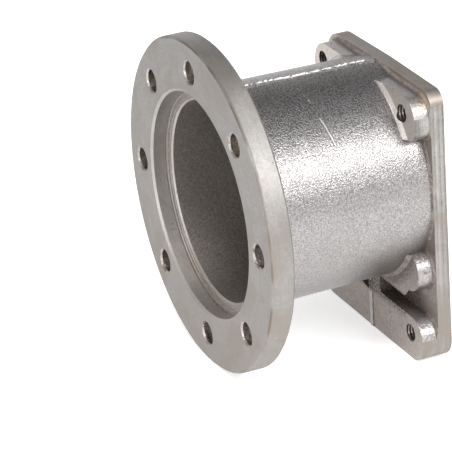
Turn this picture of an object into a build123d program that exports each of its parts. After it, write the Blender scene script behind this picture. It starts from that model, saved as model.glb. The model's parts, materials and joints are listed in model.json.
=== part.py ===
from build123d import *
import os

# Bell housing between a small electric motor and a gear pump, cast in one piece of
# aluminium and then turned, milled, drilled and tapped.
# Millimetres. The origin is the centre of the motor face. +Y runs along the shaft from
# the motor to the pump, +Z is up along the pump plate, and +X is the milled side.

# Along the shaft, from the motor face
overall_length = 66.0
flange_thickness = 7.3
end_wall_thickness = 9.0

# Motor flange
flange_diameter = 103.5
flange_chamfer = 0.7
flange_cove = 2.0
motor_circle_diameter = 85.0
motor_hole_diameter = 7.0
motor_hole_count = 8
motor_hole_chamfer = 0.5

# Register that centres the motor, and the stepped shoulder behind it
register_diameter = 70.0
register_depth = 4.5
register_chamfer = 0.7
shoulder_step = 0.35
shoulder_chamfer = 0.5

# Tube, drawn in slightly towards the pump
tube_front_diameter = 68.6
tube_rear_diameter = 67.2
tube_wall = 3.1
cavity_corner = 2.5
tube_root = 0.6

# Pump plate
plate_thickness = 4.6
plate_width = 68.0
plate_top = 33.9
plate_top_right = 33.5
plate_top_left = 33.1
plate_bottom = -54.3
plate_top_right_corner = 4.5
plate_top_left_corner = 8.0
plate_bottom_corner = 6.8

# Pump pilot and its four tapped holes, M6, in a rectangle that stands off the shaft
pilot_diameter = 25.4
pilot_chamfer = 0.6
tapped_spacing_x = 52.4
tapped_spacing_z = 72.0
tapped_top = 26.2
tap_drill_diameter = 5.0
tap_mouth_diameter = 5.6
chamfer_angle = 90

# Bosses, bar and ribs on the tube side of the plate
pad_height = 10.0
pad_collar = 1.2
upper_pad_top = 31.9
upper_pad_bottom = 18.8
upper_pad_left = -32.4
upper_pad_left_corner = 8.0
upper_pad_right_corner = 6.2
upper_pad_left_foot = 5.0
upper_pad_right_foot = 4.0
lower_bar_top = -40.1
lower_bar_corner = 6.8
rib_bottom = -34.6
rib_end = 23.0
rib_end_radius = 2.0
lug_x = 26.3
lug_z = -24.9
lug_radius = 6.5
web_right = 6.2
web_left = -1.2
left_pocket_drop = 2.1
left_pocket_run = 12.0
pocket_corner = 1.2
pad_foot = 0.8

# Flash left by the two mould halves, which parted on the plane X = 0
flash_width = 1.2
flash_height = 0.6
face_flash_width = 1.8
face_flash_height = 0.25

# Radii and planes that follow from the sizes above
flange_radius = flange_diameter / 2
register_radius = register_diameter / 2
tube_front_radius = tube_front_diameter / 2
tube_rear_radius = tube_rear_diameter / 2
cavity_front_radius = tube_front_radius - tube_wall
cavity_rear_radius = tube_rear_radius - tube_wall
cavity_end = overall_length - end_wall_thickness
plate_front = overall_length - plate_thickness
pad_front = overall_length - pad_height
side = plate_width / 2
tapped_middle = tapped_top - tapped_spacing_z / 2

motor_face = Plane.XZ
pump_face = Plane.XZ.offset(-overall_length)
plate_face = Plane.XZ.offset(-plate_front)
pad_face = Plane.XZ.offset(-pad_front)


# Outline of the pump plate, square to the shaft
with BuildSketch(pump_face) as plate_outline:
    with BuildLine():
        Polyline(
            (-side, plate_bottom),
            (side, plate_bottom),
            (side, plate_top_right),
            (0, plate_top),
            (-side, plate_top_left),
            close=True,
        )
    make_face()
    fillet(plate_outline.vertices().group_by(Axis.Y)[0], radius=plate_bottom_corner)
    right_corner = plate_outline.vertices().sort_by_distance((side, plate_top_right))[0]
    fillet(right_corner, radius=plate_top_right_corner)
    left_corner = plate_outline.vertices().sort_by_distance((-side, plate_top_left))[0]
    fillet(left_corner, radius=plate_top_left_corner)


def tube_radius(y):
    share = (y - flange_thickness) / (plate_front - flange_thickness)
    return tube_front_radius + share * (tube_rear_radius - tube_front_radius)


# Upper pad: one bar for both upper bosses, flush with the milled side on the right
with BuildSketch() as upper_pad:
    with BuildLine():
        Polyline(
            (upper_pad_left, upper_pad_bottom),
            (side, upper_pad_bottom),
            (side, upper_pad_top),
            (upper_pad_left, upper_pad_top),
            close=True,
        )
    make_face()
    for corner, corner_radius in (
        ((upper_pad_left, upper_pad_bottom), upper_pad_left_foot),
        ((side, upper_pad_bottom), upper_pad_right_foot),
        ((side, upper_pad_top), upper_pad_right_corner),
        ((upper_pad_left, upper_pad_top), upper_pad_left_corner),
    ):
        fillet(upper_pad.vertices().sort_by_distance(corner)[0], radius=corner_radius)

# Lower bar for both lower bosses, notched where the left pocket runs down into it
with BuildSketch() as lower_bar:
    with BuildLine():
        Polyline(
            (-side, plate_bottom),
            (side, plate_bottom),
            (side, lower_bar_top),
            (-side, lower_bar_top),
            close=True,
        )
    make_face()
    fillet(lower_bar.vertices().group_by(Axis.Y)[0], radius=plate_bottom_corner)
    fillet(lower_bar.vertices().group_by(Axis.Y)[-1], radius=lower_bar_corner)
    with BuildLine():
        Polyline(
            (web_left, lower_bar_top),
            (web_left, lower_bar_top - left_pocket_drop),
            (web_left - left_pocket_run, lower_bar_top),
            close=True,
        )
    make_face(mode=Mode.SUBTRACT)
    pocket_bend = lower_bar.vertices().sort_by_distance((web_left - left_pocket_run, lower_bar_top))[0]
    fillet(pocket_bend, radius=left_pocket_run)

# Rib under the tube, ending each side in a round boss that was never drilled
with BuildSketch() as lower_rib:
    with BuildLine():
        Polyline(
            (0, lug_z),
            (0, rib_bottom),
            (rib_end, rib_bottom),
            (rib_end - rib_bottom + lug_z, lug_z),
            close=True,
        )
    make_face()
    fillet(lower_rib.vertices().group_by(Axis.Y)[0].sort_by(Axis.X)[-1], radius=rib_end_radius)
    with Locations((lug_x, lug_z)):
        Circle(lug_radius)
    mirror(about=Plane.YZ)

# Everything that stands on the plate, with the web that parts the two pockets
with BuildSketch(pump_face) as pads:
    add(upper_pad.sketch)
    add(lower_bar.sketch)
    add(lower_rib.sketch)
    with Locations((web_left, lower_bar_top - left_pocket_drop)):
        Rectangle(web_right - web_left, lug_z - lower_bar_top + left_pocket_drop, align=Align.MIN)
    for pocket_point in ((web_right, rib_bottom), (web_right, lower_bar_top), (web_left, rib_bottom)):
        fillet(pads.vertices().sort_by_distance(pocket_point)[0], radius=pocket_corner)


def ring_section(y, reach):
    """Corners of a ring that widens the tube at 45 degrees, by its reach, where it meets a face at y."""
    return (
        (cavity_rear_radius, y - reach),
        (tube_radius(y - reach), y - reach),
        (tube_radius(y) + reach, y),
        (cavity_rear_radius, y),
    )


# Feet of the pads and of the tube, splayed at 45 degrees and trimmed flush with the plate's edges
with BuildPart() as feet:
    with BuildSketch(plate_face):
        add(pads.sketch_local)
        offset(amount=pad_foot)
    extrude(amount=pad_foot, taper=45)
    with BuildSketch(Plane.XY):
        with BuildLine():
            Polyline(*ring_section(plate_front, tube_root), close=True)
        make_face()
    revolve(axis=Axis.Y)
    extrude(plate_outline.sketch, amount=plate_thickness + tube_root, mode=Mode.INTERSECT)

# Collar of the tube on top of the pads, trimmed flush with their walls
with BuildPart() as collar:
    with BuildSketch(Plane.XY):
        with BuildLine():
            Polyline(*ring_section(pad_front, pad_collar), close=True)
        make_face()
    revolve(axis=Axis.Y)
    extrude(pads.sketch, amount=pad_height + pad_collar, mode=Mode.INTERSECT)

with BuildPart() as bell_housing:
    # Plate with what stands on it
    extrude(plate_outline.sketch, amount=plate_thickness)
    extrude(pads.sketch, amount=pad_height)

    # Motor flange and tube, with a cove between them
    with BuildSketch(Plane.XY):
        with BuildLine():
            cove_start = (tube_front_radius + flange_cove, flange_thickness)
            cove_end = (tube_radius(flange_thickness + flange_cove), flange_thickness + flange_cove)
            TangentArc(cove_start, cove_end, tangent=(-1, 0))
            Polyline(
                cove_end,
                (tube_rear_radius, plate_front),
                (0, plate_front),
                (0, 0),
                (flange_radius - flange_chamfer, 0),
                (flange_radius, flange_chamfer),
                (flange_radius, flange_thickness - flange_chamfer),
                (flange_radius - flange_chamfer, flange_thickness),
                cove_start,
            )
        make_face()
    revolve(axis=Axis.Y)
    add(feet.part)
    add(collar.part)

    # Flash along the tube, above and below
    with BuildSketch(Plane.YZ):
        for sign in (1, -1):
            with BuildLine():
                Polyline(
                    (flange_thickness, sign * cavity_front_radius),
                    (plate_front, sign * cavity_rear_radius),
                    (plate_front, sign * tube_rear_radius),
                    (plate_front - tube_root, sign * (tube_rear_radius + flash_height)),
                    (flange_thickness, sign * (tube_front_radius + flash_height)),
                    close=True,
                )
            make_face()
    extrude(amount=flash_width / 2, both=True)

    # Flash down the face of the web and of the lower bar
    with BuildSketch(Plane.YZ):
        with Locations((pad_front - face_flash_height, plate_bottom)):
            Rectangle(plate_front - pad_front, rib_bottom - plate_bottom, align=Align.MIN)
    extrude(amount=face_flash_width / 2, both=True)

    # Register, stepped shoulder and cast cavity, down to the end wall
    with BuildSketch(Plane.XY):
        with BuildLine():
            land = (register_radius - cavity_front_radius) / 3
            Polyline(
                (0, 0),
                (register_radius + register_chamfer, 0),
                (register_radius, register_chamfer),
                (register_radius, register_depth),
                (register_radius - land, register_depth),
                (register_radius - land, register_depth + shoulder_step),
                (register_radius - 2 * land, register_depth + shoulder_step),
                (register_radius - 2 * land, register_depth + 2 * shoulder_step),
                (cavity_front_radius + shoulder_chamfer, register_depth + 2 * shoulder_step),
                (cavity_front_radius, register_depth + 2 * shoulder_step + shoulder_chamfer),
                (cavity_rear_radius, cavity_end - cavity_corner),
                (cavity_rear_radius - cavity_corner, cavity_end),
                (0, cavity_end),
                close=True,
            )
        make_face()
    revolve(axis=Axis.Y, mode=Mode.SUBTRACT)

    # Clearance holes for the motor's screws
    with Locations(motor_face):
        with PolarLocations(motor_circle_diameter / 2, motor_hole_count):
            CounterSinkHole(
                radius=motor_hole_diameter / 2,
                counter_sink_radius=motor_hole_diameter / 2 + motor_hole_chamfer,
                depth=flange_thickness,
                counter_sink_angle=chamfer_angle,
            )

    # Pump pilot, bored from the pump's side
    with Locations(-pump_face):
        CounterSinkHole(
            radius=pilot_diameter / 2,
            counter_sink_radius=pilot_diameter / 2 + pilot_chamfer,
            depth=end_wall_thickness,
            counter_sink_angle=chamfer_angle,
        )

    # Tapped holes, with a small mouth at each end
    for face, rise in ((pad_face, 1), (-pump_face, -1)):
        with Locations(face):
            with Locations((0, rise * tapped_middle)):
                with GridLocations(tapped_spacing_x, tapped_spacing_z, 2, 2):
                    CounterSinkHole(
                        radius=tap_drill_diameter / 2,
                        counter_sink_radius=tap_mouth_diameter / 2,
                        depth=pad_height,
                        counter_sink_angle=chamfer_angle,
                    )

os.makedirs("parts", exist_ok=True)
bell_housing.part.label = "bell_housing"
export_step(bell_housing.part, "parts/bell_housing.step")
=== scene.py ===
import json
import math

import bmesh
import bpy
from mathutils import Matrix, Vector, noise


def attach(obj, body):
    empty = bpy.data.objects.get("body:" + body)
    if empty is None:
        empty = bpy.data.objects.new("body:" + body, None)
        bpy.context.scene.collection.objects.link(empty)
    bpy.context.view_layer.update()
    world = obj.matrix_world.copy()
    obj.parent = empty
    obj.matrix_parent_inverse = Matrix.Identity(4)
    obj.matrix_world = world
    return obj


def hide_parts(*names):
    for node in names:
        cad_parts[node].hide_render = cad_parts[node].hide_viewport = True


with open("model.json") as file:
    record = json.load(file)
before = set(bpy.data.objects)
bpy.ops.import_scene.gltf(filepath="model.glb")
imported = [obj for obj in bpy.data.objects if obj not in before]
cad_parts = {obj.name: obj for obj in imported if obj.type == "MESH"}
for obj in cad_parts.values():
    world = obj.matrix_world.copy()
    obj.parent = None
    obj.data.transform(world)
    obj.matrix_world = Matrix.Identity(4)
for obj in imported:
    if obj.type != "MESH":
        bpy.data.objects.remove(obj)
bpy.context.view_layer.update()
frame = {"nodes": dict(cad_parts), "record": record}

bl_info = {
    "name": "Pump Bell Housing",
    "version": (1, 0, 0),
    "blender": (4, 5, 0),
    "location": "3D View > Sidebar > Bell Housing",
    "description": "Cast aluminium bell housing with its machined faces, threads and mould flash",
    "category": "Object",
}

MM = 0.001
NODE = "bell_housing"
MOUNTS = {mount["name"]: mount for mount in frame["record"]["mounts"]}

# Sizes of the casting that the finishes and the flash follow, in millimetres
FLANGE_THICKNESS = 7.3
FLANGE_RADIUS = 51.75
REGISTER_RADIUS = MOUNTS["motor_register"]["dims"]["r_mm"]
REGISTER_END = 5.75
CAVITY_FRONT_RADIUS = 31.2
CAVITY_END = 57.0
PILOT_EDGE_RADIUS = 13.4
TUBE_FRONT_RADIUS = 34.3
TUBE_REAR_RADIUS = 33.6
PAD_FRONT = 56.0
PAD_COLLAR = 1.2
UPPER_PAD = (18.8, 31.9)
PLATE_FRONT = 61.4
PLATE_BACK = 66.0
PLATE_BOTTOM = -54.3
SIDE = 34.0
RIB_BOTTOM = -34.6
BOTTOM_CORNER = 6.8
FLASH_HEIGHT = 0.6
FACE_FLASH_HEIGHT = 0.25
TAP_RADIUS = MOUNTS["pump_holes"]["dims"]["hole_r_mm"]

FINISHES = [
    "skin",
    "fronts",
    "walls",
    "edges",
    "face",
    "rim",
    "seat",
    "steps",
    "bore",
    "milled",
    "drilled",
    "tapped",
]


def tube_radius(y):
    share = (y - FLANGE_THICKNESS) / (PLATE_FRONT - FLANGE_THICKNESS)
    return TUBE_FRONT_RADIUS + share * (TUBE_REAR_RADIUS - TUBE_FRONT_RADIUS)


def tapped_hole_places():
    mount = MOUNTS["pump_holes"]
    across = mount["dims"]["spacing_x_mm"] / 2
    up = mount["dims"]["spacing_y_mm"] / 2
    middle = mount["pos_m"][2] / MM
    return [(sx * across, middle + sz * up) for sx in (-1, 1) for sz in (-1, 1)]


# Node helpers


def put(tree, kind, settings=None, **values):
    """Adds a node, sets its own settings, and fills or links its inputs by name."""
    made = tree.nodes.new(kind)
    for name, value in (settings or {}).items():
        setattr(made, name, value)
    for name, value in values.items():
        feed(tree, made, name.replace("_", " "), value)
    return made


def feed(tree, target, name, value):
    socket = target.inputs[int(name)] if name.isdigit() else target.inputs[name]
    if isinstance(value, bpy.types.NodeSocket):
        tree.links.new(value, socket)
    else:
        socket.default_value = value


def maths(tree, operation, first, second=0.0, third=0.0, clamp=False):
    made = put(tree, "ShaderNodeMath", {"operation": operation, "use_clamp": clamp})
    for index, value in enumerate((first, second, third)):
        feed(tree, made, str(index), value)
    return made.outputs[0]


def times(tree, *values):
    product = values[0]
    for value in values[1:]:
        product = maths(tree, "MULTIPLY", product, value)
    return product


def remap(tree, value, low, high, to_low=0.0, to_high=1.0):
    made = put(tree, "ShaderNodeMapRange", {"interpolation_type": "SMOOTHSTEP", "clamp": True})
    feed(tree, made, "Value", value)
    feed(tree, made, "From Min", low)
    feed(tree, made, "From Max", high)
    feed(tree, made, "To Min", to_low)
    feed(tree, made, "To Max", to_high)
    return made.outputs["Result"]


def blend(tree, share, first, second):
    made = put(tree, "ShaderNodeMix", {"data_type": "RGBA", "clamp_factor": True})
    feed(tree, made, "0", share)
    feed(tree, made, "6", first)
    feed(tree, made, "7", second)
    return made.outputs[2]


def noise_at(tree, position, scale, detail=2.0, roughness=0.5, distortion=0.0):
    return put(
        tree,
        "ShaderNodeTexNoise",
        {"noise_dimensions": "3D"},
        Vector=position,
        Scale=scale,
        Detail=detail,
        Roughness=roughness,
        Distortion=distortion,
    ).outputs["Fac"]


def split(tree, position):
    made = put(tree, "ShaderNodeSeparateXYZ", Vector=position)
    return made.outputs[0], made.outputs[1], made.outputs[2]


def shaft_radius(tree, position):
    x, y, z = split(tree, position)
    return maths(tree, "SQRT", maths(tree, "MULTIPLY_ADD", x, x, maths(tree, "MULTIPLY", z, z)))


def new_group(name, inputs, outputs):
    group = bpy.data.node_groups.new(name, "ShaderNodeTree")
    for label, kind, default in inputs:
        socket = group.interface.new_socket(name=label, in_out="INPUT", socket_type=kind)
        if default is not None:
            socket.default_value = default
    for label in outputs:
        group.interface.new_socket(name=label, in_out="OUTPUT", socket_type="NodeSocketFloat")
    return group, group.nodes.new("NodeGroupInput"), group.nodes.new("NodeGroupOutput")


# Effects that several finishes share


def cast_grain_group():
    """Fine pebbled skin of a casting, its shallow swells, and the dark pits in it."""
    group, start, end = new_group(
        "Cast Grain",
        [
            ("Position", "NodeSocketVector", None),
            ("Grains per Metre", "NodeSocketFloat", 2400.0),
            ("Swells per Metre", "NodeSocketFloat", 160.0),
        ],
        ["Grain", "Swell", "Pits"],
    )
    position = start.outputs["Position"]
    count = start.outputs["Grains per Metre"]
    pebbles = noise_at(group, position, count, 1.0, 0.5, 0.3)
    finer = noise_at(group, position, maths(group, "MULTIPLY", count, 2.1), 0.0)
    mixed = maths(group, "MULTIPLY_ADD", finer, 0.3, maths(group, "MULTIPLY", pebbles, 0.7))
    feed(group, end, "Grain", remap(group, mixed, 0.25, 0.75))
    feed(group, end, "Swell", noise_at(group, position, start.outputs["Swells per Metre"], 2.0, 0.5, 0.6))
    pits = noise_at(group, position, maths(group, "MULTIPLY", count, 0.4), 1.0, 0.6)
    feed(group, end, "Pits", remap(group, pits, 0.66, 0.74))
    return group


def tool_marks_group():
    """Fine parallel marks that a cutting tool leaves, uneven in depth."""
    group, start, end = new_group(
        "Tool Marks",
        [
            ("Across", "NodeSocketFloat", 0.0),
            ("Position", "NodeSocketVector", None),
            ("Marks per Metre", "NodeSocketFloat", 3000.0),
            ("Unevenness", "NodeSocketFloat", 0.5),
        ],
        ["Marks", "Cloud"],
    )
    cloud = noise_at(group, start.outputs["Position"], 90.0, 3.0, 0.6, 0.4)
    wander = maths(group, "MULTIPLY_ADD", cloud, 0.0006, start.outputs["Across"])
    line_place = put(group, "ShaderNodeCombineXYZ", X=wander).outputs[0]
    fine = noise_at(group, line_place, start.outputs["Marks per Metre"], 1.5, 0.6)
    coarse = noise_at(group, line_place, times(group, start.outputs["Marks per Metre"], 0.17), 1.0)
    marks = maths(group, "MULTIPLY_ADD", coarse, 0.4, times(group, fine, 0.6))
    depth = maths(group, "MULTIPLY_ADD", cloud, start.outputs["Unevenness"], 0.5)
    feed(group, end, "Marks", maths(group, "MULTIPLY", marks, depth))
    feed(group, end, "Cloud", cloud)
    return group


def wear_group():
    """Small dark specks, short scratches and handling smudges on machined metal."""
    group, start, end = new_group(
        "Handling Wear",
        [("Position", "NodeSocketVector", None)],
        ["Specks", "Scratches", "Smudge", "Mottle", "Dust", "Rim Line"],
    )
    position = start.outputs["Position"]
    feed(group, end, "Specks", remap(group, noise_at(group, position, 620.0, 1.0), 0.72, 0.8))
    slanted = put(
        group,
        "ShaderNodeMapping",
        Vector=position,
        Rotation=(0.0, 0.35, 0.0),
        Scale=(1500.0, 260.0, 85.0),
    ).outputs[0]
    feed(group, end, "Scratches", remap(group, noise_at(group, slanted, 1.0, 0.0), 0.78, 0.86))
    feed(group, end, "Smudge", noise_at(group, position, 60.0, 4.0, 0.65, 0.8))
    mottle = noise_at(group, position, 900.0, 3.0, 0.7)
    feed(group, end, "Mottle", remap(group, mottle, 0.35, 0.65))
    feed(group, end, "Dust", remap(group, noise_at(group, position, 2300.0, 1.0), 0.3, 0.7))
    x, y, z = split(group, position)
    patches = remap(group, noise_at(group, position, 70.0), 0.42, 0.6)
    front_corner = times(group, remap(group, y, 0.0006, 0.0002), patches)
    line = times(group, front_corner, remap(group, shaft_radius(group, position), 0.0507, 0.0511))
    feed(group, end, "Rim Line", line)
    return group


def dirt_group():
    """Brown foundry grime mixed with painted shade in the pockets and corners beside the plate and under the
    tube, and a stain at its corner.
    """
    group, start, end = new_group(
        "Corner Grime and Shade",
        [("Position", "NodeSocketVector", None)],
        ["Dirt", "Stain"],
    )
    position = start.outputs["Position"]
    x, y, z = split(group, position)
    radius = shaft_radius(group, position)
    cloud = noise_at(group, position, 420.0, 3.0, 0.65, 0.4)
    broken = remap(group, cloud, 0.38, 0.62)
    speckle = remap(group, noise_at(group, position, 1500.0, 3.0, 0.7), 0.46, 0.54)
    # Painted shade in the corners where the pads and the tube meet the plate's front, broken by noise.
    shaded_creases = times(group, remap(group, y, 0.0603, 0.0608), remap(group, y, 0.06139, 0.0613))
    shaded_creases = times(group, shaded_creases, maths(group, "MULTIPLY_ADD", broken, 0.4, 0.4))
    # Painted shade on the tube's underside and right beside it, towards the plate, broken by noise.
    under = times(group, remap(group, z, -0.006, -0.026), remap(group, y, 0.040, 0.058))
    under = times(group, under, remap(group, radius, 0.0375, 0.0345))
    under = times(group, under, maths(group, "MULTIPLY_ADD", broken, 0.4, 0.2))
    rib_root = times(
        group,
        0.75,
        remap(group, z, -0.012, -0.02),
        remap(group, radius, 0.0392, 0.0362),
        remap(group, y, 0.0557, 0.0559),
        speckle,
    )
    in_z = times(group, remap(group, z, -0.0432, -0.0405), remap(group, z, -0.0338, -0.0346))
    in_x = times(group, remap(group, x, -0.016, -0.012), remap(group, x, 0.030, 0.0225, 0.15, 1.0))
    pocket = times(group, in_z, in_x)
    # Painted shade on the floor of the pocket between the lug and the lower bar.
    pocket_shade = times(group, pocket, remap(group, y, 0.0559, 0.0566), 0.6)
    rim_of_pocket = times(group, pocket, speckle, remap(group, x, 0.0245, 0.0225))
    # The mask mixes painted shade (the plate's corners, under the tube, the pocket) with speckled grime at
    # the rib's root and the pocket's rim.
    grime_and_shade = maths(group, "MAXIMUM", shaded_creases, maths(group, "MAXIMUM", under, rib_root))
    grime_and_shade = times(group, grime_and_shade, remap(group, radius, 0.0320, 0.0330))
    grime_and_shade = maths(group, "MAXIMUM", grime_and_shade, maths(group, "MAXIMUM", pocket_shade, rim_of_pocket))
    feed(group, end, "Dirt", grime_and_shade)
    corner = put(group, "ShaderNodeVectorMath", {"operation": "DISTANCE"})
    group.links.new(position, corner.inputs[0])
    corner.inputs[1].default_value = (0.0318, 0.0606, 0.0318)
    spot = remap(group, corner.outputs["Value"], 0.0045, 0.0008)
    feed(group, end, "Stain", maths(group, "MULTIPLY", spot, remap(group, cloud, 0.3, 0.6)))
    return group


# Finishes


def new_material(name, roughness, metallic, colour):
    material = bpy.data.materials.new(name)
    material.use_nodes = True
    tree = material.node_tree
    shader = tree.nodes["Principled BSDF"]
    shader.inputs["Metallic"].default_value = metallic
    shader.inputs["Roughness"].default_value = roughness
    shader.inputs["Base Color"].default_value = (*colour, 1.0)
    material.diffuse_color = (*colour, 1.0)
    position = put(tree, "ShaderNodeTexCoord").outputs["Object"]
    return material, tree, shader, position


def place_group(tree, group, **values):
    made = put(tree, "ShaderNodeGroup", {"node_tree": group})
    for name, value in values.items():
        feed(tree, made, name.replace("_", " "), value)
    return made.outputs


def shade(colour, share):
    return (*(min(1.0, channel * share) for channel in colour), 1.0)


def bump(tree, shader, height, distance, under=None):
    made = put(tree, "ShaderNodeBump", Height=height, Distance=distance, Strength=1.0)
    if under is not None:
        tree.links.new(under, made.inputs["Normal"])
    tree.links.new(made.outputs[0], shader.inputs["Normal"])
    return made.outputs[0]


def cast_material(
    name,
    looks,
    groups,
    grains,
    depth,
    roughness,
    tint,
    contrast=0.4,
    pits=0.0,
    metallic=1.0,
    lift=0.0,
    coarse=0.0,
    warmth=0.0,
):
    """contrast is how much darker and lighter the grain is than the tint, pits how dark the pits are,
    lift how much lighter painted light makes the upper half, coarse how much plainer the grain is up there,
    a painted stand-in for the sparkle of light on the bumps, and warmth how brown the underside is."""
    material, tree, shader, position = new_material(name, roughness, metallic, tint)
    grain = place_group(tree, groups["grain"], Position=position, Grains_per_Metre=grains)
    grime_and_shade = place_group(tree, groups["grime_and_shade"], Position=position)
    x, y, z = split(tree, position)
    # Painted reflection: the grain's colour contrast grows on the top, standing in for the sparkle that light
    # on the bumps gives there.
    painted_sparkle_contrast = maths(tree, "MULTIPLY_ADD", remap(tree, z, 0.020, 0.029), coarse, 1.0)
    either_way = maths(tree, "SUBTRACT", grain["Grain"], 0.5)
    share = maths(tree, "MULTIPLY_ADD", either_way, painted_sparkle_contrast, 0.5, clamp=True)
    warm = tuple(channel * part for channel, part in zip(tint, (1.02, 0.97, 0.94)))
    base = blend(tree, share, shade(warm, 1 - contrast), shade(tint, 1 + contrast))
    base = blend(tree, remap(tree, z, 0.0, -0.028, 0.0, warmth), base, shade(warm, 0.72))
    base = blend(tree, remap(tree, grain["Swell"], 0.3, 0.7, 0.0, 0.15), base, shade(tint, 0.75))
    # Painted light: the upper half in front of the plate is lifted towards white, as if lit from above.
    painted_top_light = times(tree, remap(tree, z, 0.002, 0.02), remap(tree, y, 0.0605, 0.0585), lift)
    base = blend(tree, painted_top_light, base, (1.0, 0.95, 0.91, 1.0))
    base = blend(tree, times(tree, grain["Pits"], pits), base, shade(looks.dirt_colour, 1.0))
    # Grime and painted shade: this mask darkens the colour, and makes it rougher and less metallic.
    base = blend(tree, times(tree, grime_and_shade["Dirt"], 0.92), base, shade(looks.dirt_colour, 1.0))
    base = blend(tree, times(tree, grime_and_shade["Stain"], 0.8), base, shade(looks.stain_colour, 1.0))
    tree.links.new(base, shader.inputs["Base Color"])
    rough = maths(tree, "MULTIPLY_ADD", grain["Swell"], 0.08, roughness - 0.04)
    rough = maths(tree, "MULTIPLY_ADD", grime_and_shade["Dirt"], 0.3, rough)
    tree.links.new(rough, shader.inputs["Roughness"])
    bare = maths(tree, "MULTIPLY_ADD", grime_and_shade["Dirt"], -0.9 * metallic, metallic)
    tree.links.new(bare, shader.inputs["Metallic"])
    swell = put(tree, "ShaderNodeBump", Height=grain["Swell"], Distance=0.00012, Strength=1.0).outputs[0]
    bump(tree, shader, grain["Grain"], depth, swell)
    return material


def machined_material(
    name,
    looks,
    groups,
    across,
    marks,
    depth,
    roughness,
    metallic,
    tint,
    wear=0.5,
    streaks=0.11,
):
    """across names the way in which the tool marks follow each other, by radius or along the shaft.
    streaks is how much darker and lighter they are than the tint, and wear how plain specks and
    scratches are."""
    material, tree, shader, position = new_material(name, roughness, metallic, tint)
    x, y, z = split(tree, position)
    step = {"radius": shaft_radius(tree, position), "along": y}[across]
    tool = place_group(tree, groups["tool"], Across=step, Position=position, Marks_per_Metre=marks)
    worn = place_group(tree, groups["wear"], Position=position)
    grime_and_shade = place_group(tree, groups["grime_and_shade"], Position=position)
    streaked = remap(tree, tool["Marks"], 0.25, 0.5)
    base = blend(tree, streaked, shade(tint, 1 - streaks), shade(tint, 1 + streaks))
    warm = tuple(channel * part for channel, part in zip(tint, (0.88, 0.82, 0.76)))
    base = blend(tree, times(tree, worn["Dust"], 0.45), base, shade(tint, 0.74))
    base = blend(tree, times(tree, worn["Mottle"], 0.35), base, shade(tint, 1.35))
    # Handling smudges, and a warmer, darker tone that grows towards the bottom.
    smudge_and_lower_tone = remap(tree, worn["Smudge"], 0.42, 0.62, 0.0, 0.6)
    smudge_and_lower_tone = maths(tree, "ADD", smudge_and_lower_tone, remap(tree, z, 0.012, -0.045, 0.0, 0.6), clamp=True)
    base = blend(tree, smudge_and_lower_tone, base, shade(warm, 1.0))
    base = blend(tree, times(tree, worn["Specks"], wear), base, shade(looks.dirt_colour, 1.0))
    base = blend(tree, times(tree, worn["Scratches"], wear * 0.6), base, shade(tint, 0.45))
    base = blend(tree, times(tree, grime_and_shade["Stain"], 0.15), base, shade(looks.stain_colour, 1.0))
    base = blend(tree, times(tree, worn["Rim Line"], 0.6), base, shade(looks.stain_colour, 0.3))
    tree.links.new(base, shader.inputs["Base Color"])
    rough = maths(tree, "MULTIPLY_ADD", tool["Cloud"], 0.18, roughness - 0.09)
    tree.links.new(rough, shader.inputs["Roughness"])
    bump(tree, shader, tool["Marks"], depth)
    return material


def make_materials(looks):
    groups = {
        "grain": cast_grain_group(),
        "tool": tool_marks_group(),
        "wear": wear_group(),
        "grime_and_shade": dirt_group(),
    }
    cast = tuple(looks.cast_colour)
    cut = tuple(looks.machined_colour)
    rough = tuple(looks.rough_colour)
    hollow = tuple(looks.bore_colour)
    deep = tuple(looks.hole_colour)
    torn = tuple(looks.torn_colour)
    depth = looks.grain_depth
    grains = 1.0 / looks.grain_size

    def casting(name, *values, **more):
        return cast_material(name, looks, groups, *values, **more)

    def machined(name, *values, **more):
        return machined_material(name, looks, groups, *values, **more)

    return {
        # lift paints light on the upper half of the fronts and walls; coarse paints sparkle into the skin's
        # grain on top.
        "skin": casting("cast skin", grains, depth, 0.29, cast, contrast=0.38, coarse=1.9, warmth=0.3),
        "fronts": casting(
            "cast fronts", grains * 0.8, depth, 0.5, rough, contrast=0.24, pits=0.3, metallic=0.8, lift=0.36
        ),
        "walls": casting(
            "cast walls", grains * 0.7, depth, 0.36, shade(cast, 1.15)[:3], contrast=0.25, pits=0.5, lift=0.26
        ),
        "edges": machined(
            "sawn edges", "along", 1500.0, 0.000003, 0.5, 0.95, shade(rough, 0.93)[:3], wear=0.7, streaks=0.35
        ),
        "face": machined("turned face", "radius", 2600.0, 0.000003, 0.55, 0.95, shade(cut, 0.96)[:3]),
        "rim": machined("turned rim", "along", 2400.0, 0.000008, 0.5, 0.9, shade(cut, 1.03)[:3]),
        # Painted light: the register is a lighter copy of the turned metal, standing in for the light on its
        # wall.
        "seat": machined("turned register", "along", 2400.0, 0.000012, 0.5, 0.8, shade(cut, 1.45)[:3]),
        # Painted highlight: the register steps are nearly white, so that they read as bright lines of light.
        "steps": machined(
            "register steps", "radius", 2000.0, 0.00001, 0.35, 0.95, shade(torn, 1.15)[:3], streaks=0.2
        ),
        "bore": casting("cast bore", grains * 0.8, depth * 0.4, 0.62, hollow, contrast=0.3),
        "milled": machined("milled side", "along", 1100.0, 0.00003, 0.45, 0.9, cut, streaks=0.75),
        "drilled": casting(
            "drilled hole", grains * 0.6, depth * 1.2, 0.35, shade(deep, 1.4)[:3], contrast=0.35, pits=0.7
        ),
        # Painted shade: the tapped holes and their threads are much darker copies of the hole colour, for the
        # shade inside them.
        "tapped": machined("tapped hole", "along", 1400.0, 0.00005, 0.4, 1.0, shade(deep, 0.35)[:3]),
        "thread": machined("thread", "along", 900.0, 0.00002, 0.35, 1.0, shade(deep, 0.7)[:3]),
        "torn": casting("torn flash", grains * 0.8, depth * 0.8, 0.4, torn, contrast=0.1),
        "dull": casting(
            "dull flash", grains * 0.8, depth * 0.8, 0.6, shade(torn, 0.7)[:3], contrast=0.1, metallic=0.8
        ),
    }


# The casting


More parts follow.
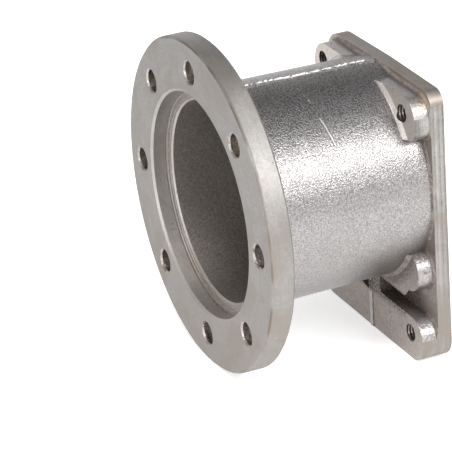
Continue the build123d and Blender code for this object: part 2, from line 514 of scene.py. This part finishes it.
def finish_of(centre, normal):
    """Names the finish of a surface of the casting from where it lies and how it faces."""
    x, y, z = centre / MM
    radius = math.hypot(x, z)
    along = abs(normal.y)
    if along > 0.99 and (y < 0.01 or abs(y - FLANGE_THICKNESS) < 0.01):
        return "face"
    if y < FLANGE_THICKNESS + 0.01 and radius > REGISTER_RADIUS + 1.5:
        return "rim" if radius > FLANGE_RADIUS - 0.75 else "drilled"
    if y < REGISTER_END and radius < REGISTER_RADIUS + 0.8:
        if along > 0.8:
            return "bore"
        return "steps" if along < 0.3 and radius < REGISTER_RADIUS - 0.2 else "seat"
    if radius < CAVITY_FRONT_RADIUS + 0.1 and y < CAVITY_END + 0.01:
        return "bore"
    if radius < PILOT_EDGE_RADIUS and y > CAVITY_END:
        return "rim"
    if y < PAD_FRONT - PAD_COLLAR - 0.1:
        return "skin"
    reach = TAP_RADIUS + 0.35
    if along < 0.9 and any(math.hypot(x - hx, z - hz) < reach for hx, hz in tapped_hole_places()):
        return "tapped"
    if normal.y > 0.99 and y > PLATE_BACK - 0.1:
        return "face"
    if abs(normal.x) > 0.99 and abs(x) > SIDE - 0.1:
        return "milled"
    if along < 0.3 and z < PLATE_BOTTOM + BOTTOM_CORNER:
        return "milled" if abs(normal.x) > 0.3 else "edges"
    if normal.x > 0.8 and x > SIDE - 1 and UPPER_PAD[0] < z < UPPER_PAD[0] + 5:
        return "milled"
    if along < 0.3 and y > PLATE_FRONT:
        return "edges"
    if along > 0.5:
        return "fronts"
    return "walls" if radius > tube_radius(y) + 0.3 else "skin"


def merged_casting():
    """The casting's mesh with its doubles merged, sorted by finish, and flat areas made whole."""
    bm = bmesh.new()
    bm.from_mesh(frame["nodes"][NODE].data)
    bmesh.ops.remove_doubles(bm, verts=bm.verts, dist=0.000002)
    bm.normal_update()
    for face in bm.faces:
        face.material_index = FINISHES.index(finish_of(face.calc_center_median(), face.normal))
    bmesh.ops.dissolve_limit(
        bm,
        angle_limit=math.radians(0.4),
        verts=bm.verts,
        edges=bm.edges,
        delimit={"MATERIAL"},
    )
    return bm


def outline_edges(bm, y, outward):
    """Edges where a flat area square to the shaft meets walls that run along it."""
    found = []
    for edge in bm.edges:
        if len(edge.link_faces) != 2 or any(abs(vert.co.y / MM - y) > 0.02 for vert in edge.verts):
            continue
        first, second = sorted((face.normal.y for face in edge.link_faces), key=abs)
        if abs(first) < 0.3 and second * outward > 0.99 and edge.is_convex:
            found.append(edge)
    return found


def clear_of_holes(edge, margin):
    middle = (edge.verts[0].co + edge.verts[1].co) / 2 / MM
    return all(math.hypot(middle.x - hx, middle.z - hz) > margin for hx, hz in tapped_hole_places())


def round_edges(bm, edges, width, segments):
    bmesh.ops.bevel(
        bm,
        geom=edges,
        offset=width,
        offset_type="OFFSET",
        segments=segments,
        profile=0.5,
        affect="EDGES",
        clamp_overlap=True,
        material=-1,
    )


def widen_tapped_walls(bm, root):
    """Opens the drilled walls to the root of the thread, so that the ridges stand out of them."""
    for vert in bm.verts:
        x, y, z = vert.co / MM
        if y < PAD_FRONT + 0.05 or y > PLATE_BACK - 0.05:
            continue
        for hole_x, hole_z in tapped_hole_places():
            radius = math.hypot(x - hole_x, z - hole_z)
            if abs(radius - TAP_RADIUS) < 0.05:
                grow = root / MM / radius
                vert.co.x = (hole_x + (x - hole_x) * grow) * MM
                vert.co.z = (hole_z + (z - hole_z) * grow) * MM


def mark_sharp_edges(bm, angle):
    for face in bm.faces:
        face.smooth = True
    for edge in bm.edges:
        if len(edge.link_faces) == 2:
            edge.smooth = edge.calc_face_angle() < angle


def new_piece(name, bm, materials):
    mesh = bpy.data.meshes.new(name)
    bm.to_mesh(mesh)
    bm.free()
    for material in materials:
        mesh.materials.append(material)
    piece = bpy.data.objects.new(name, mesh)
    bpy.context.scene.collection.objects.link(piece)
    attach(piece, "root")
    return piece


def make_casting(sizes, finishes):
    bm = merged_casting()
    pad_edges = [edge for edge in outline_edges(bm, PAD_FRONT, -1) if clear_of_holes(edge, 3.0)]
    round_edges(bm, pad_edges, sizes.pad_edge, 3)
    round_edges(bm, outline_edges(bm, PLATE_FRONT, -1), sizes.plate_edge, 2)
    back_edges = [edge for edge in outline_edges(bm, PLATE_BACK, 1) if clear_of_holes(edge, 3.0)]
    round_edges(bm, back_edges, sizes.plate_edge, 2)
    widen_tapped_walls(bm, sizes.thread_root)
    mark_sharp_edges(bm, math.radians(32))
    casting = new_piece("casting", bm, [finishes[name] for name in FINISHES])
    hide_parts(NODE)
    weighted = casting.modifiers.new("flat areas first", "WEIGHTED_NORMAL")
    weighted.keep_sharp = True
    return casting


# Threads


def thread_ridge(bm, hole_x, hole_z, sizes, turn_steps):
    """One thread wound round a hole: a closed profile spun up the hole and capped at its ends."""
    pitch = sizes.thread_pitch
    start_y = (PAD_FRONT + 0.35) * MM
    turns = (PLATE_BACK - PAD_FRONT - 0.9) * MM / pitch
    centre = Vector((hole_x * MM, 0, hole_z * MM))
    foot = sizes.thread_root + 0.00003
    crest = TAP_RADIUS * MM
    profile = ((foot, -0.42), (crest, -0.07), (crest, 0.07), (foot, 0.42))
    verts = [bm.verts.new(centre + Vector((radius, start_y + rise * pitch, 0))) for radius, rise in profile]
    edges = [bm.edges.new((verts[i - 1], verts[i])) for i in range(len(verts))]
    bmesh.ops.spin(
        bm,
        geom=verts + edges,
        cent=centre,
        axis=Vector((0, 1, 0)),
        dvec=Vector((0, pitch / turn_steps, 0)),
        angle=math.tau * turns,
        steps=int(turns * turn_steps),
        use_merge=False,
    )


def make_threads(sizes, finishes):
    bm = bmesh.new()
    for hole_x, hole_z in tapped_hole_places():
        thread_ridge(bm, hole_x, hole_z, sizes, 20)
    bmesh.ops.holes_fill(bm, edges=[edge for edge in bm.edges if edge.is_boundary], sides=4)
    bmesh.ops.recalc_face_normals(bm, faces=bm.faces)
    return new_piece("threads", bm, [finishes["thread"]])


# Flash that the mould left


def lay_ridge(bm, steps, width, height, place, jag=0.0):
    """Lays a ridge of the given width and height along place(share), which gives a point and the
    way out of the skin there. jag is how unevenly the ridge has broken off."""
    lanes = 5
    grid = bmesh.ops.create_grid(bm, x_segments=steps, y_segments=lanes, size=0.5)["verts"]
    for vert in grid:
        share, lane = vert.co.x + 0.5, vert.co.y + 0.5
        point, outward = place(share)
        ahead = place(min(1.0, share + 0.01))[0] - place(max(0.0, share - 0.01))[0]
        across = ahead.cross(outward).normalized()
        torn = noise.noise(point * 2300 + Vector((0, lane * 3, 0)))
        wave = noise.noise(point * 520)
        half = width / 2 * (1 + 0.5 * jag * wave)
        crest = height * math.sin(math.pi * lane) ** 0.4 * math.sin(math.pi * share) ** 0.15
        crest *= 1 + jag * (0.7 * wave + 1.1 * torn)
        vert.co = point + across * half * (2 * lane - 1) + outward * (crest - 0.0001)
    return grid


def close_ridges(bm, name, finish):
    bmesh.ops.recalc_face_normals(bm, faces=bm.faces)
    bmesh.ops.solidify(bm, geom=bm.faces[:], thickness=0.0002)
    bmesh.ops.recalc_face_normals(bm, faces=bm.faces)
    for face in bm.faces:
        face.smooth = True
    return new_piece(name, bm, [finish])


def on_tube(y, angle, lift=0.0):
    """A point on the tube's skin and the way out of it there."""
    outward = Vector((math.cos(angle), 0, math.sin(angle)))
    return outward * (tube_radius(y) + lift) * MM + Vector((0, y * MM, 0)), outward


def make_parting_flash(sizes, finishes):
    """Torn crest of the flash along the tube, above and below."""
    bm = bmesh.new()
    first = FLANGE_THICKNESS + 1.4
    for side, last in ((1, PLATE_FRONT - 0.9), (-1, PAD_FRONT - PAD_COLLAR)):

        def place(share):
            y = first + (last - first) * share
            return on_tube(y, side * math.pi / 2 + 0.004 * math.sin(9 * share), FLASH_HEIGHT - 0.15)

        lay_ridge(bm, 200, sizes.flash_width, sizes.flash_height, place, jag=1.0)
    return close_ridges(bm, "parting_flash", finishes["torn"])


def make_bar_flash(sizes, finishes):
    """Flatter flash down the face of the web and of the lower bar."""
    bm = bmesh.new()

    def place(share):
        z = RIB_BOTTOM + (PLATE_BOTTOM + 0.4 - RIB_BOTTOM) * share
        return Vector((0, PAD_FRONT - FACE_FLASH_HEIGHT + 0.1, z)) * MM, Vector((0, -1, 0))

    lay_ridge(bm, 50, sizes.flash_width * 1.3, sizes.flash_height * 0.4, place, jag=0.4)
    return close_ridges(bm, "bar_flash", finishes["dull"])


def make_tube_ridges(sizes, finishes):
    """Two thin ridges half way along the tube, where mould pieces met."""
    bm = bmesh.new()
    for start, end, first_y, last_y, width, height in (
        (81, 60, 31.2, 32.6, 0.5, 0.1),
        (55, 38, 32.4, 33.8, 0.6, 0.22),
    ):

        def place(share):
            angle = math.radians(start + (end - start) * share)
            return on_tube(first_y + (last_y - first_y) * share, angle)

        lay_ridge(bm, 40, width * MM, height * MM, place, jag=0.5)
    return close_ridges(bm, "mould_ridges", finishes["walls"])


def make_pad_burr(sizes, finishes):
    """Burr along the front of the upper pads, where they run out on the tube."""
    bm = bmesh.new()
    foot = PAD_FRONT - PAD_COLLAR + 0.15
    radius = tube_radius(foot) + 0.1
    low, high = (math.asin(height / radius) for height in UPPER_PAD)
    for mirrored in (False, True):

        def place(share):
            angle = low + (high - low) * share
            angle = math.pi - angle if mirrored else angle
            point = Vector((math.cos(angle) * radius, foot, math.sin(angle) * radius)) * MM
            return point, Vector((0.7 * math.cos(angle), -0.71, 0.7 * math.sin(angle)))

        lay_ridge(bm, 40, sizes.burr_width, sizes.burr_width * 0.4, place, jag=0.4)
    return close_ridges(bm, "pad_burr", finishes["walls"])


# Stage


def stage_material(name, colour, glow):
    """Pale floor: lit and shaded by the lamps, lifted to white where it is seen, clear from below."""
    material = bpy.data.materials.new(name)
    material.use_nodes = True
    tree = material.node_tree
    shader = tree.nodes["Principled BSDF"]
    shader.inputs["Base Color"].default_value = (*colour, 1.0)
    shader.inputs["Roughness"].default_value = 1.0
    shader.inputs["Specular IOR Level"].default_value = 0.0
    shader.inputs["Emission Color"].default_value = (1.0, 1.0, 1.0, 1.0)
    tree.links.new(times(tree, seen_directly(tree), glow), shader.inputs["Emission Strength"])
    below = put(tree, "ShaderNodeNewGeometry").outputs["Backfacing"]
    tree.links.new(maths(tree, "SUBTRACT", 1.0, below), shader.inputs["Alpha"])
    return material


def seen_directly(tree):
    """1 for the camera's rays and for those that metal and glass send on, otherwise 0."""
    light_path = put(tree, "ShaderNodeLightPath").outputs
    seen = maths(tree, "MAXIMUM", light_path["Is Camera Ray"], light_path["Is Glossy Ray"])
    return maths(tree, "MAXIMUM", seen, light_path["Is Transmission Ray"])


def add_lamp(name, place, size, power):
    lamp = bpy.data.lights.new(name, "AREA")
    lamp.shape = "RECTANGLE"
    lamp.size, lamp.size_y = size
    lamp.energy = power
    made = bpy.data.objects.new(name, lamp)
    bpy.context.scene.collection.objects.link(made)
    middle = Vector((0.0, (PLATE_BACK / 2) * MM, 0.0))
    made.location = place
    made.rotation_mode = "QUATERNION"
    made.rotation_quaternion = (middle - Vector(place)).to_track_quat("-Z", "Y")
    return made


def stage_sheet(name, size, place, tilt, material):
    bm = bmesh.new()
    bmesh.ops.create_grid(bm, x_segments=1, y_segments=1, size=0.5)
    spread = Matrix.Diagonal((size[0], size[1], 1.0, 1.0))
    turn = Matrix.Translation(place) @ Matrix.Rotation(tilt, 4, "X")
    bmesh.ops.transform(bm, matrix=turn @ spread, verts=bm.verts)
    mesh = bpy.data.meshes.new(name)
    bm.to_mesh(mesh)
    bm.free()
    mesh.materials.append(material)
    sheet = bpy.data.objects.new(name, mesh)
    bpy.context.scene.collection.objects.link(sheet)
    return sheet


def make_floor(stage):
    """Floor under the rim and the plate, on which the housing rests without being turned itself."""
    low = Vector((0, FLANGE_THICKNESS - 0.7, -FLANGE_RADIUS)) * MM
    material = stage_material("pale floor", tuple(stage.floor_colour), stage.floor_glow)
    behind = Matrix.Rotation(-stage.floor_tilt, 3, "X") @ Vector((0, 0.25, 0))
    return stage_sheet("floor", (1.2, 0.9), low + behind, -stage.floor_tilt, material)


def make_dark_card(stage):
    """Card above the housing that darkens what the top of the tube mirrors, and nothing else."""
    material = bpy.data.materials.new("dark card")
    material.use_nodes = True
    shader = material.node_tree.nodes["Principled BSDF"]
    shader.inputs["Base Color"].default_value = (0.0, 0.0, 0.0, 1.0)
    shader.inputs["Specular IOR Level"].default_value = 0.0
    shader.inputs["Emission Color"].default_value = (1.0, 1.0, 1.0, 1.0)
    shader.inputs["Emission Strength"].default_value = stage.card_tone
    card = stage_sheet("dark card", stage.card_size, Vector(stage.card_place), 0.0, material)
    card.visible_camera = False
    card.visible_diffuse = False
    card.visible_shadow = False
    return card


def make_world(stage):
    world = bpy.data.worlds.new("studio")
    world.use_nodes = True
    tree = world.node_tree
    background = tree.nodes["Background"]
    colour = blend(tree, seen_directly(tree), (*stage.wall_colour, 1.0), (1.0, 1.0, 1.0, 1.0))
    tree.links.new(colour, background.inputs["Color"])
    background.inputs["Strength"].default_value = 1.0
    bpy.context.scene.world = world


def make_camera(stage):
    camera = bpy.data.cameras.new("camera")
    camera.lens = stage.lens
    camera.sensor_width = 36.0
    camera.clip_start = 0.01
    camera.clip_end = 50.0
    made = bpy.data.objects.new("camera", camera)
    bpy.context.scene.collection.objects.link(made)
    right = Vector((0.41411297, 0.90808627, -0.06236805))
    down = Vector((0.34940643, -0.22186104, -0.91032567))
    rotation = Matrix((right, -down, right.cross(-down))).transposed()
    made.location = stage.camera_place
    made.rotation_euler = rotation.to_euler()
    bpy.context.scene.camera = made
    return made


# Settings


class HousingSizes(bpy.types.PropertyGroup):
    pad_edge: bpy.props.FloatProperty(
        name="Pad edge", description="Rounding of the cast pads' front edges", default=0.0005, unit="LENGTH"
    )
    plate_edge: bpy.props.FloatProperty(
        name="Plate edge", description="Rounding of the plate's edges", default=0.0003, unit="LENGTH"
    )
    thread_pitch: bpy.props.FloatProperty(
        name="Thread pitch", description="Pitch of the four tapped holes", default=0.001, unit="LENGTH"
    )
    thread_root: bpy.props.FloatProperty(
        name="Thread root", description="Radius at the bottom of the thread", default=0.00278, unit="LENGTH"
    )
    flash_width: bpy.props.FloatProperty(
        name="Flash width", description="Width of the mould flash on the tube", default=0.0013, unit="LENGTH"
    )
    flash_height: bpy.props.FloatProperty(
        name="Torn height", description="Height of the flash's torn crest", default=0.0005, unit="LENGTH"
    )
    burr_width: bpy.props.FloatProperty(
        name="Burr width", description="Width of the burr along the pads", default=0.0007, unit="LENGTH"
    )


class HousingLooks(bpy.types.PropertyGroup):
    cast_colour: bpy.props.FloatVectorProperty(
        name="Cast skin",
        description="Colour of the cast skin",
        default=(0.30, 0.293, 0.293),
        subtype="COLOR",
        size=3,
    )
    machined_colour: bpy.props.FloatVectorProperty(
        name="Machined metal",
        description="Colour of turned and milled areas",
        default=(0.285, 0.274, 0.264),
        subtype="COLOR",
        size=3,
    )
    rough_colour: bpy.props.FloatVectorProperty(
        name="Pad fronts and edges",
        description="Colour of the duller cast areas",
        default=(0.36, 0.325, 0.302),
        subtype="COLOR",
        size=3,
    )
    bore_colour: bpy.props.FloatVectorProperty(
        name="Bore",
        description="Colour of the rough inside",
        default=(0.27, 0.25, 0.235),
        subtype="COLOR",
        size=3,
    )
    hole_colour: bpy.props.FloatVectorProperty(
        name="Holes",
        description="Colour inside the holes",
        default=(0.26, 0.24, 0.22),
        subtype="COLOR",
        size=3,
    )
    torn_colour: bpy.props.FloatVectorProperty(
        name="Torn edges",
        description="Colour of the bright metal of torn flash",
        default=(0.78, 0.78, 0.78),
        subtype="COLOR",
        size=3,
    )
    # Colour of grime, pits and specks, and of the painted shade at the plate's corners, under the tube and in
    # the pocket.
    dirt_colour: bpy.props.FloatVectorProperty(
        name="Dirt",
        description="Colour of the dirt in corners",
        default=(0.08, 0.054, 0.039),
        subtype="COLOR",
        size=3,
    )
    stain_colour: bpy.props.FloatVectorProperty(
        name="Stain",
        description="Colour of the stain at the plate's corner",
        default=(0.42, 0.29, 0.17),
        subtype="COLOR",
        size=3,
    )
    grain_size: bpy.props.FloatProperty(
        name="Grain size", description="Width of one grain of the cast skin", default=0.0005, unit="LENGTH"
    )
    grain_depth: bpy.props.FloatProperty(
        name="Grain depth", description="Depth of the cast skin's grain", default=0.00007, unit="LENGTH"
    )


class HousingStage(bpy.types.PropertyGroup):
    lens: bpy.props.FloatProperty(name="Lens", description="Focal length in millimetres", default=236.79)
    camera_place: bpy.props.FloatVectorProperty(
        name="Camera place",
        description="Where the camera stands",
        default=(0.751875, -0.309177, 0.357315),
        subtype="TRANSLATION",
        size=3,
    )
    floor_tilt: bpy.props.FloatProperty(
        name="Floor tilt",
        description="Lean of the housing, which rests on its rim and its plate",
        default=math.radians(2.95),
        subtype="ANGLE",
    )
    floor_colour: bpy.props.FloatVectorProperty(
        name="Floor", description="Colour of the floor", default=(0.85, 0.85, 0.85), subtype="COLOR", size=3
    )
    floor_glow: bpy.props.FloatProperty(
        name="Floor glow", description="Lift of the floor towards white where it is seen", default=0.62
    )
    wall_colour: bpy.props.FloatVectorProperty(
        name="Walls",
        description="Light from the studio's walls",
        default=(0.5, 0.5, 0.5),
        subtype="COLOR",
        size=3,
    )
    card_place: bpy.props.FloatVectorProperty(
        name="Dark card",
        description="Middle of the dark card",
        default=(-0.29, 0.3, 0.5),
        subtype="TRANSLATION",
        size=3,
    )
    card_size: bpy.props.FloatVectorProperty(
        name="Card size", description="Width and depth of the dark card", default=(1.22, 2.0), size=2
    )
    card_tone: bpy.props.FloatProperty(
        name="Card tone", description="Brightness of the dark card", default=0.26
    )
    key_power: bpy.props.FloatProperty(
        name="Key lamp", description="Power of the lamp at the tube's side", default=4.9, unit="POWER"
    )
    top_power: bpy.props.FloatProperty(
        name="Top lamp", description="Power of the lamp above the flange", default=7.5, unit="POWER"
    )
    fill_power: bpy.props.FloatProperty(
        name="Fill lamp", description="Power of the lamp on the motor side", default=3.5, unit="POWER"
    )


# Operators


class BELL_OT_materials(bpy.types.Operator):
    """Makes the finishes of the casting"""

    bl_idname = "bell.materials"
    bl_label = "Finishes"

    def execute(self, context):
        for name, material in make_materials(context.scene.bell_looks).items():
            material["finish"] = name
        return {"FINISHED"}


def made_finishes():
    found = {material["finish"]: material for material in bpy.data.materials if "finish" in material}
    missing = [name for name in FINISHES if name not in found]
    if missing:
        raise RuntimeError(f"make the finishes first: {missing}")
    return found


class BELL_OT_casting(bpy.types.Operator):
    """Builds the casting with rounded pad and plate edges"""

    bl_idname = "bell.casting"
    bl_label = "Casting"

    def execute(self, context):
        make_casting(context.scene.bell_sizes, made_finishes())
        return {"FINISHED"}


class BELL_OT_threads(bpy.types.Operator):
    """Winds the threads of the four tapped holes"""

    bl_idname = "bell.threads"
    bl_label = "Threads"

    def execute(self, context):
        make_threads(context.scene.bell_sizes, made_finishes())
        return {"FINISHED"}


class BELL_OT_flash(bpy.types.Operator):
    """Lays the mould flash, the thin ridges on the tube and the burr along the pads"""

    bl_idname = "bell.flash"
    bl_label = "Mould flash"

    def execute(self, context):
        for make in (make_parting_flash, make_bar_flash, make_tube_ridges, make_pad_burr):
            make(context.scene.bell_sizes, made_finishes())
        return {"FINISHED"}


class BELL_OT_stage(bpy.types.Operator):
    """Sets up the floor, the dark card, the lamps, the room and the camera"""

    bl_idname = "bell.stage"
    bl_label = "Stage"

    def execute(self, context):
        stage = context.scene.bell_stage
        make_floor(stage)
        make_dark_card(stage)
        make_world(stage)
        add_lamp("key lamp", (0.76, 0.37, 0.55), (0.45, 0.3), stage.key_power)
        add_lamp("top lamp", (0.30, -0.12, 0.93), (0.4, 0.4), stage.top_power)
        add_lamp("fill lamp", (0.45, -0.95, 0.25), (0.5, 0.5), stage.fill_power)
        make_camera(stage)
        context.scene.view_settings.view_transform = "Standard"
        return {"FINISHED"}


class BELL_PT_panel(bpy.types.Panel):
    bl_idname = "BELL_PT_panel"
    bl_label = "Bell Housing"
    bl_space_type = "VIEW_3D"
    bl_region_type = "UI"
    bl_category = "Bell Housing"

    def draw(self, context):
        for operator in OPERATORS:
            self.layout.operator(operator.bl_idname)
        for group in (context.scene.bell_sizes, context.scene.bell_looks, context.scene.bell_stage):
            for name in group.__annotations__:
                self.layout.prop(group, name)


OPERATORS = (BELL_OT_materials, BELL_OT_casting, BELL_OT_threads, BELL_OT_flash, BELL_OT_stage)
CLASSES = (HousingSizes, HousingLooks, HousingStage, *OPERATORS, BELL_PT_panel)


def register():
    for cls in CLASSES:
        bpy.utils.register_class(cls)
    bpy.types.Scene.bell_sizes = bpy.props.PointerProperty(type=HousingSizes)
    bpy.types.Scene.bell_looks = bpy.props.PointerProperty(type=HousingLooks)
    bpy.types.Scene.bell_stage = bpy.props.PointerProperty(type=HousingStage)


def unregister():
    del bpy.types.Scene.bell_stage
    del bpy.types.Scene.bell_looks
    del bpy.types.Scene.bell_sizes
    for cls in reversed(CLASSES):
        bpy.utils.unregister_class(cls)


def main():
    register()
    bpy.ops.bell.materials()
    bpy.ops.bell.casting()
    bpy.ops.bell.threads()
    bpy.ops.bell.flash()
    bpy.ops.bell.stage()


if __name__ == "__main__":
    main()
